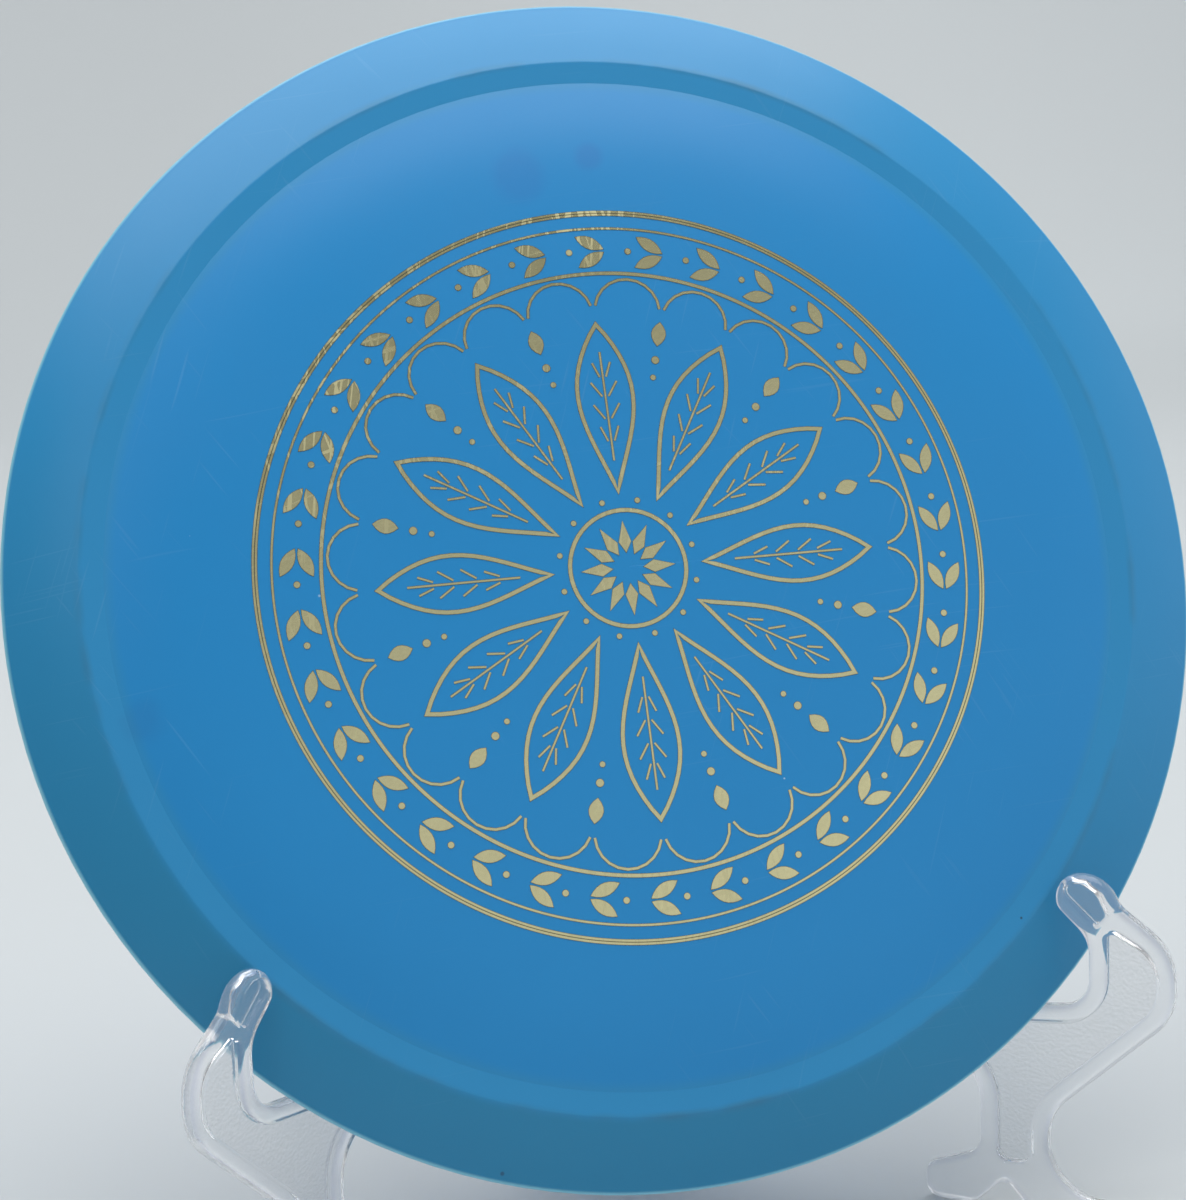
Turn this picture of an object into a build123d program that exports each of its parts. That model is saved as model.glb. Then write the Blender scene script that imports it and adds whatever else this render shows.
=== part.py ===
"""Golf disc resting on a folding two-leaf clear display stand.

Units are millimetres, +Z is up, the viewer stands on the -Y side.  The stand's
hinge axis is the Z axis, and the floor is Z = 0.  Each leaf is drawn once as a
flat outline (U away from the hinge, Z up) and set out in a vertical plane.
"""
from build123d import *
from math import acos, atan2, cos, hypot, radians, sin, sqrt, tan
import os

os.makedirs("parts", exist_ok=True)

# ---------------------------------------------------------------- pose
leaf_angle = 48.5           # each leaf's turn away from straight forward
disc_lean = 22.2            # how far the disc leans back from upright
seat_reach = 89.3           # where the disc's nose crosses a leaf: out along
seat_height = 41.0          # the leaf from the hinge, and up from the floor

# ---------------------------------------------------------------- golf disc
disc_radius = 106.0
wing_width = 12.8           # from the nose in to the shoulder land
land_width = 4.1            # flat shoulder land round the flight plate
rim_width = 14.0            # from the nose in to the rim's inner wall
rim_foot_width = 6.6        # flat bottom of the rim
land_height = 6.3           # heights are above the nose circle
crown_height = 11.5
plate_edge_slope = 14.5     # degrees, where the dome meets the land
plate_thickness = 2.2
rim_drop = 7.4              # nose circle above the rim's bottom
nose_radius = 1.25
wing_bulge = 0.30           # crown of the wing's upper surface
rim_bottom_round = 2.0
rim_inner_round = 1.0
plate_root_round = 3.0
land_corner_round = 1.2
root_step = 0.4             # plate's underside thickens by this at the rim
root_reach = 3.1            # and begins to, this far inside the plate's edge
root_rise = 0.6             # underside there, above its level at the edge
# dome section: shares of the plate's radius and of the rise above the land
dome_shares = [(0.561, 0.865), (0.752, 0.673), (0.898, 0.385)]

# ---------------------------------------------------------------- leaf plate
bead_thickness = 3.4        # rounded edge bead, also its width
bead_width = 3.4
web_thickness = 1.5
bead_outer_round = 1.5
bead_inner_round = 0.8
leaf_offset = 2.2           # leaf mid-plane beside the hinge axis

spine_set = 5.0             # spine's rear edge, out from the hinge axis
spine_width = 11.0
spine_rise = 2.0            # spine above the top knuckle
leg_width = 12.9            # front leg, from the bay to the neck
neck_set = 0.8              # neck's front face behind the seat point
neck_length = 14.9          # neck, above the toe
toe_length = 13.5           # toe, ahead of the neck
toe_height = 4.0
spur_length = 10.6          # spur, behind the leg
spur_rise = 6.6             # spur's top at its end, and where it meets the leg
spur_root_rise = 10.4
arch_rise = 5.6             # small arch between spur and toe
bay_rise = 40.0             # top of the open bay, at the spine and at the leg
bay_drop = 13.8
cradle_room = 6.9           # cradle's wall ahead of the seat point
seat_gap = 0.75             # cradle's floor under the nose
heel_gap = (1.7, 2.0)       # cradle's rear corner behind and under the rim
rest_gap = (0.7, 0.25)      # foot of the back-rest behind and under the rim
post_lean = 11.0            # degrees
post_top = 110.3
post_width = 11.4
bulge_reach = 22.5          # bulge ahead of the seat point
bulge_drop = 1.2            # and its straight front, down and up from there
bulge_rise = 10.7
finger_gap = 1.0            # finger's back face ahead of the seat point
finger_width = 11.7
finger_shoulder = 5.3       # finger's front shoulder below its tip
finger_rise = 23.0          # finger's tip above the seat point
chin_rise = 17.0            # finger's lower corner above the seat point
lip_rise = 11.4             # cradle wall's top above the seat point
pocket_floor = 9.4          # lower edge of the web pocket in the leg

# ---------------------------------------------------------------- hinge
pintle_radius = 2.0
pintle_clearance = 0.06     # radial running clearance in the clips
barrel_radius = 4.0
knuckle_gap = 0.3           # axial clearance between knuckles
arm_thickness = 3.0
arm_reach = 7.6
clip_mouth = 2.8            # narrower than the pintle, so the clip holds it
right_knuckles = [(0.0, 12.0), (29.0, 41.0), (58.0, 70.0)]

bead_half = bead_thickness / 2
pocket_depth = (bead_thickness - web_thickness) / 2
lean = radians(disc_lean)
turn = radians(leaf_angle)
left_knuckles = [
    (below[1], above[0]) for below, above in zip(right_knuckles, right_knuckles[1:])
]


def nearest(vertices, point):
    """The vertex closest to a drawn corner."""
    return vertices.sort_by_distance(point)[0]


# ================================================================ golf disc
# The nose circle passes through the seat point of either leaf.
seat_side = seat_reach * sin(turn) + leaf_offset * cos(turn)
seat_fall = sqrt(disc_radius**2 - seat_side**2)
disc_back_set = (
    seat_reach * cos(turn) - leaf_offset * sin(turn) - seat_fall * sin(lean)
)
disc_height = seat_height + seat_fall * cos(lean)
disc_centre = (0.0, -disc_back_set, disc_height)
disc_axis_dir = (0.0, -cos(lean), sin(lean))
profile_plane = Plane(
    origin=disc_centre, x_dir=(1, 0, 0), z_dir=(0, -sin(lean), -cos(lean))
)
land_outer_radius = disc_radius - wing_width
plate_edge_radius = land_outer_radius - land_width
rim_inner_radius = disc_radius - rim_width
rim_bottom_outer = rim_inner_radius + rim_foot_width
dome_rise = crown_height - land_height
dome = [
    (share * plate_edge_radius, land_height + rise * dome_rise)
    for share, rise in dome_shares
]
nose_top = (disc_radius - 0.72 * nose_radius, 0.96 * nose_radius)
nose_low = (disc_radius - 0.50 * nose_radius, -0.87 * nose_radius)
slope = radians(plate_edge_slope)
under_corner = (rim_inner_radius, land_height - plate_thickness - root_step)
root_start = (
    plate_edge_radius - root_reach,
    land_height - plate_thickness + root_rise,
)
wing_middle = (
    (land_outer_radius + nose_top[0]) / 2 + 0.4 * wing_bulge,
    (land_height + nose_top[1]) / 2 + 0.9 * wing_bulge,
)

with BuildPart() as golf_disc:
    with BuildSketch(profile_plane) as disc_profile:
        with BuildLine() as disc_line:
            Line((0, crown_height - plate_thickness), (0, crown_height))
            Spline(
                (0, crown_height), *dome, (plate_edge_radius, land_height),
                tangents=[(1, 0), (cos(slope), -sin(slope))],
            )
            Line((plate_edge_radius, land_height), (land_outer_radius, land_height))
            ThreePointArc((land_outer_radius, land_height), wing_middle, nose_top)
            ThreePointArc(nose_top, (disc_radius, 0), nose_low)
            Polyline(
                nose_low,
                (rim_bottom_outer, -rim_drop),
                (rim_inner_radius, -rim_drop),
                under_corner,
                root_start,
            )
            Spline(
                root_start,
                *[(r, h - plate_thickness) for r, h in reversed(dome)],
                (0, crown_height - plate_thickness),
                tangents=[(-cos(slope), sin(slope)), (-1, 0)],
            )
        make_face()
        fillet(nearest(disc_profile.vertices(), under_corner), plate_root_round)
        fillet(
            nearest(disc_profile.vertices(), (rim_bottom_outer, -rim_drop)),
            rim_bottom_round,
        )
        fillet(
            nearest(disc_profile.vertices(), (rim_inner_radius, -rim_drop)),
            rim_inner_round,
        )
        fillet(
            nearest(disc_profile.vertices(), (land_outer_radius, land_height)),
            land_corner_round,
        )
    revolve(axis=Axis(disc_centre, disc_axis_dir))
golf_disc.part.label = "golf_disc"
golf_disc.part.color = Color(0.14, 0.44, 0.72)

# ================================================================ leaf outline
def on_leaf(radius, height):
    """Where a circle of the disc crosses a leaf: out from the hinge, and up."""
    ahead = disc_back_set + height * cos(lean)
    swing = atan2(sin(lean) * sin(turn), cos(turn))
    share = (leaf_offset + ahead * sin(turn)) / (
        radius * hypot(cos(turn), sin(lean) * sin(turn))
    )
    angle = swing - acos(share)
    side, fall = radius * cos(angle), -radius * sin(angle)
    out = side * sin(turn) + (ahead + fall * sin(lean)) * cos(turn)
    return out, disc_height - fall * cos(lean) + height * sin(lean)


neck_side = seat_reach - neck_set
neck_round = 0.66 * neck_length
bay_side = neck_side - leg_width
toe_tip = neck_side + toe_length
spine_front = spine_set + spine_width
spine_top = right_knuckles[-1][1] + spine_rise
cradle_wall = seat_reach + cradle_room
bulge_side = seat_reach + bulge_reach
bulge_round = 0.92 * (bulge_rise + bulge_drop)
finger_side = seat_reach + finger_gap
finger_top = seat_height + finger_rise
rim_heel = on_leaf(rim_bottom_outer, -rim_drop)
rim_toe = on_leaf(rim_inner_radius, -rim_drop)
rest_foot = (rim_toe[0] - rest_gap[0], rim_toe[1] - rest_gap[1])
post_side = rest_foot[0] - (post_top - rest_foot[1]) * tan(radians(post_lean))
saddle_side = post_side - post_width - 6.4
saddle_round = 0.63 * (saddle_side - spine_set)

# Corner by corner, anticlockwise: out, up, corner radius
leaf_corners = {
    "spur_heel": (bay_side - spur_length, 0.0, 2.8),
    "arch_rear": (bay_side - 1.4, 0.0, 3.0),
    "arch_peak": (bay_side + 4.6, arch_rise, 1.8),
    "arch_front": (neck_side - 3.3, 0.0, 2.2),
    "toe_low": (toe_tip, 0.0, 1.9),
    "toe_high": (toe_tip, toe_height, 1.9),
    "neck_low": (neck_side, toe_height, neck_round),
    "neck_high": (neck_side, toe_height + neck_length, neck_round),
    "bulge_low": (bulge_side, seat_height - bulge_drop, bulge_round),
    "bulge_high": (bulge_side, seat_height + bulge_rise, bulge_round),
    "finger_root": (finger_side + finger_width, finger_top - finger_shoulder, 3.0),
    "finger_front": (finger_side + finger_width - 3.0, finger_top, 6.5),
    "finger_back": (finger_side, finger_top, 4.6),
    "finger_chin": (finger_side, seat_height + chin_rise, 2.8),
    "cradle_lip": (cradle_wall, seat_height + lip_rise, 6.0),
    "cradle_front": (cradle_wall, seat_height - seat_gap, 5.5),
    "cradle_rear": (rim_heel[0] - heel_gap[0], rim_heel[1] - heel_gap[1], 1.5),
    "post_foot": (*rest_foot, 10.0),
    "post_front": (post_side, post_top, 5.5),
    "post_rear": (post_side - post_width, post_top, 5.2),
    "saddle": (saddle_side, spine_top - 8.0, saddle_round),
    "spine_top": (spine_set, spine_top, 5.0),
    "spine_heel": (spine_set, 0.0, 2.0),
    "spine_toe": (spine_front, 0.0, 2.2),
    "bay_rear": (spine_front, bay_rise, 12.0),
    "bay_front": (bay_side, seat_height - bay_drop, 9.0),
    "spur_root": (bay_side, spur_root_rise, 4.0),
    "spur_top": (bay_side - spur_length, spur_rise, 2.8),
}

# Main web pocket: outline corners moved in by the bead, or points of its own
main_pocket = [
    ((bay_side + bead_width, pocket_floor), 2.0),
    ((neck_side - bead_width, pocket_floor), 2.0),
    ("neck_high", neck_round + bead_width),
    ("bulge_low", bulge_round - bead_width),
    ("bulge_high", bulge_round - bead_width - 0.8),
    ((cradle_wall + bead_width, seat_height + lip_rise + 2.2), 1.2),
    ("cradle_front", 8.9),
    ("cradle_rear", 4.9),
    ("post_foot", 13.4),
    ("post_front", 2.1),
    ("post_rear", 1.8),
    ("saddle", saddle_round + bead_width),
    ("spine_top", 1.6),
    ("spine_heel", 1.6),
    ("spine_toe", 1.6),
    ("bay_rear", 15.4),
    ("bay_front", 12.4),
]
# Small pocket in the hook finger, above a cross rib
finger_pocket = [
    ((finger_side + 6.9, finger_top - 8.3), 0.9),
    ((finger_side + 8.8, finger_top - 6.6), 1.2),
    ((finger_side + 7.0, finger_top - 3.4), 1.4),
    ((finger_side + 3.1, finger_top - 3.4), 0.8),
    ((finger_side + 3.1, finger_top - 4.7), 0.9),
]


def inset(name):
    """An outline corner moved inwards by the bead width on both its sides."""
    names = list(leaf_corners)
    place = names.index(name)
    before, here, after = (
        Vector(*leaf_corners[names[(place + step) % len(names)]][:2])
        for step in (-1, 0, 1)
    )
    way_in = (here - before).normalized()
    way_out = (after - here).normalized()
    left_in = Vector(-way_in.Y, way_in.X)
    left_out = Vector(-way_out.Y, way_out.X)
    mitre = (left_in + left_out) * (bead_width / (1 + left_in.dot(left_out)))
    return (here.X + mitre.X, here.Y + mitre.Y)


def rounded_outline(sketch, corners):
    """Fill a cornered outline in the open sketch and round each corner."""
    Polygon(*[point for point, radius in corners], align=None)
    for point, radius in corners:
        fillet(nearest(sketch.vertices(), point), radius)


with BuildSketch() as leaf_outline:
    rounded_outline(
        leaf_outline, [((u, z), radius) for u, z, radius in leaf_corners.values()]
    )

with BuildSketch() as leaf_web:
    rounded_outline(
        leaf_web,
        [
            (inset(place) if isinstance(place, str) else place, radius)
            for place, radius in main_pocket
        ],
    )

with BuildSketch() as finger_web:
    rounded_outline(finger_web, finger_pocket)


def leaf_plane(side):
    """The mid-plane of the leaf on the given side: +1 right, -1 left."""
    along = (side * sin(turn), -cos(turn), 0)
    outward = (side * cos(turn), sin(turn), 0)
    middle = (leaf_offset * outward[0], leaf_offset * outward[1], 0)
    facing = (-side * outward[0], -side * outward[1], 0)
    return Plane(origin=middle, x_dir=along, z_dir=facing)


def bead_edges(part, plane):
    """Outer and inner border edges of the bead on both faces of a leaf."""
    normal = Axis(plane.origin, plane.z_dir)
    ordered = part.faces().filter_by(plane).sort_by(normal)
    faces = [ordered[0], ordered[-1]]
    outer = [edge for face in faces for edge in face.outer_wire().edges()]
    inner = [
        edge
        for face in faces
        for wire in face.inner_wires()
        for edge in wire.edges()
    ]
    return outer, inner


# ================================================================ right leaf
right_plane = leaf_plane(1)
with BuildPart() as right_leaf:
    with BuildSketch(right_plane):
        add(leaf_outline.sketch)
    extrude(amount=bead_half, both=True)
    for face_side in (1, -1):
        with BuildSketch(right_plane.offset(face_side * bead_half)):
            add(leaf_web.sketch)
            add(finger_web.sketch)
        extrude(amount=-face_side * pocket_depth, mode=Mode.SUBTRACT)
    outer_edges, inner_edges = bead_edges(right_leaf.part, right_plane)
    fillet(outer_edges, bead_outer_round)
    outer_edges, inner_edges = bead_edges(right_leaf.part, right_plane)
    fillet(inner_edges, bead_inner_round)
    # integral pintle with its three solid knuckles and their arms
    with Locations((0, 0, right_knuckles[0][0])):
        Cylinder(
            pintle_radius,
            right_knuckles[-1][1] - right_knuckles[0][0],
            align=(Align.CENTER, Align.CENTER, Align.MIN),
        )
    for low, high in right_knuckles:
        with Locations((0, 0, low)):
            Cylinder(
                barrel_radius,
                high - low,
                align=(Align.CENTER, Align.CENTER, Align.MIN),
            )
        with BuildSketch(right_plane):
            with Locations((arm_reach / 2, (low + high) / 2)):
                Rectangle(arm_reach, high - low)
        extrude(amount=arm_thickness / 2, both=True)
right_leaf.part.label = "right_leaf"
right_leaf.part.color = Color(0.85, 0.88, 0.9, 0.4)

# ================================================================ left leaf
left_plane = leaf_plane(-1)
with BuildPart() as left_leaf:
    with BuildSketch(left_plane):
        add(leaf_outline.sketch)
    extrude(amount=bead_half, both=True)
    for face_side in (1, -1):
        with BuildSketch(left_plane.offset(face_side * bead_half)):
            add(leaf_web.sketch)
            add(finger_web.sketch)
        extrude(amount=-face_side * pocket_depth, mode=Mode.SUBTRACT)
    outer_edges, inner_edges = bead_edges(left_leaf.part, left_plane)
    fillet(outer_edges, bead_outer_round)
    outer_edges, inner_edges = bead_edges(left_leaf.part, left_plane)
    fillet(inner_edges, bead_inner_round)
    # two press-on clips: bored knuckles with a mouth facing away from the leaf
    for low, high in left_knuckles:
        clip_low = low + knuckle_gap
        clip_length = high - low - 2 * knuckle_gap
        with Locations((0, 0, clip_low)):
            Cylinder(
                barrel_radius,
                clip_length,
                align=(Align.CENTER, Align.CENTER, Align.MIN),
            )
        with BuildSketch(left_plane):
            with Locations((arm_reach / 2, clip_low + clip_length / 2)):
                Rectangle(arm_reach, clip_length)
        extrude(amount=arm_thickness / 2, both=True)
        with Locations((0, 0, clip_low)):
            Cylinder(
                pintle_radius + pintle_clearance,
                clip_length,
                align=(Align.CENTER, Align.CENTER, Align.MIN),
                mode=Mode.SUBTRACT,
            )
        mouth_plane = Plane(
            origin=(0, 0, clip_low),
            x_dir=(sin(turn), cos(turn), 0),
            z_dir=(0, 0, 1),
        )
        with BuildSketch(mouth_plane):
            Rectangle(
                barrel_radius + pintle_radius, clip_mouth, align=(Align.MIN, Align.CENTER)
            )
        extrude(amount=clip_length, mode=Mode.SUBTRACT)
left_leaf.part.label = "left_leaf"
left_leaf.part.color = Color(0.85, 0.88, 0.9, 0.4)

# ================================================================ export
export_step(golf_disc.part, "parts/golf_disc.step")
export_step(right_leaf.part, "parts/right_leaf.step")
export_step(left_leaf.part, "parts/left_leaf.step")
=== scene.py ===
"""Golf disc in a clear folding stand: finishes, foil stamp, stage and camera.

Sizes in the code are metres unless a comment says millimetres.  +Z is up, the
viewer stands on the -Y side, and the stand's hinge axis is the Z axis.
"""
import math

import bmesh
import bpy
from bpy.props import (
    FloatProperty,
    FloatVectorProperty,
    IntProperty,
    PointerProperty,
)
from mathutils import Matrix, Vector


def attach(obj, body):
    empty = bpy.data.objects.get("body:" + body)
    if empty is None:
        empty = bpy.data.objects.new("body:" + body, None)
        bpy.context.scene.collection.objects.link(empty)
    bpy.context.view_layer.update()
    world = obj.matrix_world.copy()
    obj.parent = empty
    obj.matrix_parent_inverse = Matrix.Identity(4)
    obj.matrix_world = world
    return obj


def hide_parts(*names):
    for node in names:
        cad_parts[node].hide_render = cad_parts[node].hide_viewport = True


bl_info = {
    "name": "Golf Disc on Display Stand",
    "version": (1, 0, 0),
    "blender": (4, 5, 0),
    "location": "3D View > Sidebar > Golf Disc",
    "description": "Finishes, foil stamp and stage for a golf disc on a clear stand",
    "category": "Object",
}

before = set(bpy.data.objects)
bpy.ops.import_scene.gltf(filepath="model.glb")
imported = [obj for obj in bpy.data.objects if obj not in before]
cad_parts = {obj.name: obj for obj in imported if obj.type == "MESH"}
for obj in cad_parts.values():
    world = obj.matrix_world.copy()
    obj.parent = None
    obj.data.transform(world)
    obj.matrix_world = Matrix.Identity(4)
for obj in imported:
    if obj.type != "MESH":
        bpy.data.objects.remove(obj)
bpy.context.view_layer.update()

MM = 0.001

# Where the disc stands: its nose circle's centre, and its lean back
DISC_CENTRE = Vector((0.0, -0.026908, 0.116022))
DISC_LEAN = math.radians(22.2)
DISC_TILT = math.pi / 2 - DISC_LEAN

# The flight plate's crown above the nose's plane, and how it falls outwards
DOME_CROWN = 11.5 * MM
DOME_FALL = 5.83
DOME_FLATNESS = 0.0109

# The leaves' turn away from straight forward, and their set beside the hinge
LEAF_ANGLE = math.radians(48.5)
LEAF_OFFSET = 2.2 * MM


# ---------------------------------------------------------------- settings
class DiscSettings(bpy.types.PropertyGroup):
    """Finish of the moulded disc."""

    plate_colour: FloatVectorProperty(
        name="Plate Colour",
        description="Colour of the thin flight plate",
        subtype="COLOR", size=3, min=0, max=1, default=(0.004, 0.247, 0.585),
    )
    land_colour: FloatVectorProperty(
        name="Land Colour",
        description="Colour of the flat shoulder land",
        subtype="COLOR", size=3, min=0, max=1, default=(0.015, 0.256, 0.535),
    )
    wing_colour: FloatVectorProperty(
        name="Wing Colour",
        description="Colour of the thicker wing and rim",
        subtype="COLOR", size=3, min=0, max=1, default=(0.010, 0.218, 0.420),
    )
    # Painted light: the wing's upper right is painted paler where more light falls, and
    # its lower left keeps the darker wing colour
    painted_light_wing_colour: FloatVectorProperty(
        name="Upper Wing Colour",
        description="Colour of the wing's upper half, where more light passes",
        subtype="COLOR", size=3, min=0, max=1, default=(0.014, 0.262, 0.560),
    )
    # Painted highlight: the nose is painted paler, standing in for the pale line that
    # light draws along the disc's thin edge
    painted_light_nose_colour: FloatVectorProperty(
        name="Nose Colour",
        description="Colour of the thin outermost edge, where light passes",
        subtype="COLOR", size=3, min=0, max=1, default=(0.24, 0.60, 0.76),
    )
    roughness: FloatProperty(
        name="Roughness",
        description="Roughness of the plain plastic",
        subtype="FACTOR", min=0, max=1, default=0.36,
    )
    scratches: FloatProperty(
        name="Scratches",
        description="Strength of the fine handling scratches",
        subtype="FACTOR", min=0, max=1, default=0.12,
    )
    specks: FloatProperty(
        name="Specks",
        description="Strength of the tiny pale specks",
        subtype="FACTOR", min=0, max=1, default=0.6,
    )


class FoilSettings(bpy.types.PropertyGroup):
    """Sizes and colour of the stamped foil design."""

    colour: FloatVectorProperty(
        name="Foil Colour",
        description="Colour of the foil",
        subtype="COLOR", size=3, min=0, max=1, default=(0.74, 0.69, 0.40),
    )
    edge_colour: FloatVectorProperty(
        name="Edge Colour",
        description="Colour of the foil along its pressed edges",
        subtype="COLOR", size=3, min=0, max=1, default=(0.15, 0.125, 0.055),
    )
    border: FloatProperty(
        name="Border",
        description="Width of the pressed edge of each foil shape",
        subtype="DISTANCE", min=0, default=0.12 * MM,
    )
    off_centre: FloatVectorProperty(
        name="Off Centre",
        description="Shift of the whole stamp from the disc's centre",
        subtype="TRANSLATION", unit="LENGTH", size=3,
        default=(-0.26 * MM, -0.27 * MM, 0.0),
    )
    stand_off: FloatProperty(
        name="Stand-off",
        description="Gap between the plate and the underside of the foil",
        subtype="DISTANCE", min=0, default=0.03 * MM,
    )
    thickness: FloatProperty(
        name="Thickness",
        description="Thickness of the foil",
        subtype="DISTANCE", min=0, default=0.03 * MM,
    )
    ring_parts: IntProperty(
        name="Ring Parts",
        description="Number of short arcs that make up each plain ring",
        min=12, default=72,
    )
    sprigs: IntProperty(
        name="Sprigs",
        description="Number of leaf sprigs in the garland between the rings",
        min=8, default=34,
    )
    petals: IntProperty(
        name="Petals",
        description="Number of long petals in the rosette",
        min=4, default=12,
    )


class StandSettings(bpy.types.PropertyGroup):
    """Finish of the clear moulded leaves."""

    tint: FloatVectorProperty(
        name="Tint",
        description="Colour of the clear plastic",
        subtype="COLOR", size=3, min=0, max=1, default=(0.965, 0.97, 0.98),
    )
    web_tint: FloatVectorProperty(
        name="Web Tint",
        description="Colour of the thin pebbled web",
        subtype="COLOR", size=3, min=0, max=1, default=(0.985, 0.988, 0.995),
    )
    # Painted shade: the steep sides of the edge bead are painted a darker lavender
    # grey, standing in for the lines that light bent by the bead draws along it
    shoulder_painted_shade: FloatVectorProperty(
        name="Shoulder Tint",
        description="Colour of the steep sides of the edge bead",
        subtype="COLOR", size=3, min=0, max=1, default=(0.84, 0.85, 0.93),
    )
    pebble_size: FloatProperty(
        name="Pebble Size",
        description="Spacing of the pebbled texture on the web",
        subtype="DISTANCE", min=0.0001, default=0.62 * MM,
    )
    pebble_depth: FloatProperty(
        name="Pebble Depth",
        description="Strength of the pebbled texture on the web",
        subtype="FACTOR", min=0, max=1, default=0.35,
    )


class StageSettings(bpy.types.PropertyGroup):
    """Floor, light and camera."""

    floor_colour: FloatVectorProperty(
        name="Floor Colour",
        description="Colour of the floor and its sweep",
        subtype="COLOR", size=3, min=0, max=1, default=(0.57, 0.60, 0.615),
    )
    overhead_power: FloatProperty(
        name="Overhead Power",
        description="Power of the overhead soft box",
        unit="POWER", min=0, default=24.5,
    )
    window_power: FloatProperty(
        name="Window Power",
        description="Power of the small bright window",
        unit="POWER", min=0, default=0.6,
    )
    horizon_level: FloatProperty(
        name="Horizon Level",
        description="Brightness of the surroundings near the horizon",
        min=0, default=0.81,
    )
    ceiling_level: FloatProperty(
        name="Ceiling Level",
        description="Brightness of the surroundings high up",
        min=0, default=0.32,
    )
    left_share: FloatProperty(
        name="Left Share",
        description="Brightness of the left side, as a share of the right side's",
        min=0, default=0.45,
    )
    camera_place: FloatVectorProperty(
        name="Camera Place",
        description="Where the camera stands",
        subtype="TRANSLATION", size=3, default=(-0.12253, -0.54235, 0.22513),
    )
    camera_aim: FloatVectorProperty(
        name="Camera Aim",
        description="Point in the middle of the view",
        subtype="TRANSLATION", size=3, default=(-0.00412, -0.02629, 0.11259),
    )
    camera_roll: FloatProperty(
        name="Camera Roll",
        description="Turn of the camera about its own view line",
        subtype="ANGLE", default=math.radians(-2.5),
    )
    lens: FloatProperty(
        name="Lens",
        description="Focal length on a 36 mm high sensor",
        unit="CAMERA", min=1, default=92.6,
    )


class GolfDisplaySettings(bpy.types.PropertyGroup):
    """All settings of the golf disc and its stand."""

    disc: PointerProperty(type=DiscSettings)
    foil: PointerProperty(type=FoilSettings)
    stand: PointerProperty(type=StandSettings)
    stage: PointerProperty(type=StageSettings)


# ---------------------------------------------------------------- helpers
def add_object(name, data):
    """A new object in the scene."""
    made = bpy.data.objects.new(name, data)
    bpy.context.scene.collection.objects.link(made)
    return made


def quads(low, high, closed=True):
    """Faces between two equally long rows of points, given by their numbers."""
    count = len(low)
    return [
        (low[i], low[(i + 1) % count], high[(i + 1) % count], high[i])
        for i in range(count if closed else count - 1)
    ]


def scaled(colour, share):
    """A colour, darker for a share under 1 and paler for one above."""
    return [part * share for part in colour]


def put(tree, kind, inputs=None, **settings):
    """Add a node with its settings and inputs."""
    made = tree.nodes.new(kind)
    for name, value in settings.items():
        setattr(made, name, value)
    return fill(tree, made, inputs or {})


def fill(tree, made, inputs):
    """Link the sockets and set the plain values given for a node's inputs."""
    made.location = (200 * len(tree.nodes), 0)
    for key, value in inputs.items():
        if isinstance(value, bpy.types.NodeSocket):
            tree.links.new(value, made.inputs[key])
        else:
            made.inputs[key].default_value = value
    return made


def math_node(tree, operation, *values):
    """A Math node's result."""
    made = put(tree, "ShaderNodeMath", dict(enumerate(values)), operation=operation)
    return made.outputs[0]


def vector_node(tree, operation, *values):
    """A Vector Math node's results: "Vector" and "Value"."""
    return put(
        tree, "ShaderNodeVectorMath", dict(enumerate(values)), operation=operation
    ).outputs


def span(tree, value, low, high, to_low=0.0, to_high=1.0, smooth=False):
    """A value's place between low and high, clamped."""
    made = put(
        tree, "ShaderNodeMapRange",
        {0: value, 1: low, 2: high, 3: to_low, 4: to_high},
        interpolation_type="SMOOTHSTEP" if smooth else "LINEAR",
    )
    return made.outputs[0]


def blend_colour(tree, factor, first, second, kind="MIX"):
    """Mix two colours."""
    made = put(
        tree, "ShaderNodeMix",
        {0: factor, 6: opaque(first), 7: opaque(second)},
        data_type="RGBA", blend_type=kind,
    )
    return made.outputs[2]


def tinted(tree, colour, mask, strength, tint):
    """A colour with a tint over it where the mask is."""
    share = math_node(tree, "MULTIPLY", mask, strength)
    return blend_colour(tree, share, colour, tint)


def opaque(colour):
    """Three colour numbers as four; anything else as it is."""
    if isinstance(colour, bpy.types.NodeSocket):
        return colour
    return (*colour[:3], 1.0)


def new_group(name, tree_type, inputs, outputs):
    """A node group with named sockets; an input is (name, type[, default])."""
    tree = bpy.data.node_groups.new(name, tree_type)
    for label, kind, *default in inputs:
        socket = tree.interface.new_socket(
            name=label, in_out="INPUT", socket_type=kind
        )
        if default:
            socket.default_value = default[0]
    for label, kind in outputs:
        tree.interface.new_socket(name=label, in_out="OUTPUT", socket_type=kind)
    return tree, put(tree, "NodeGroupInput"), put(tree, "NodeGroupOutput")


def add_bump(tree, shader, height, strength, distance):
    """Give a shader a bump, its distance in metres."""
    bump = put(
        tree, "ShaderNodeBump",
        {"Height": height, "Strength": strength, "Distance": distance},
    )
    fill(tree, shader, {"Normal": bump.outputs[0]})


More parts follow.
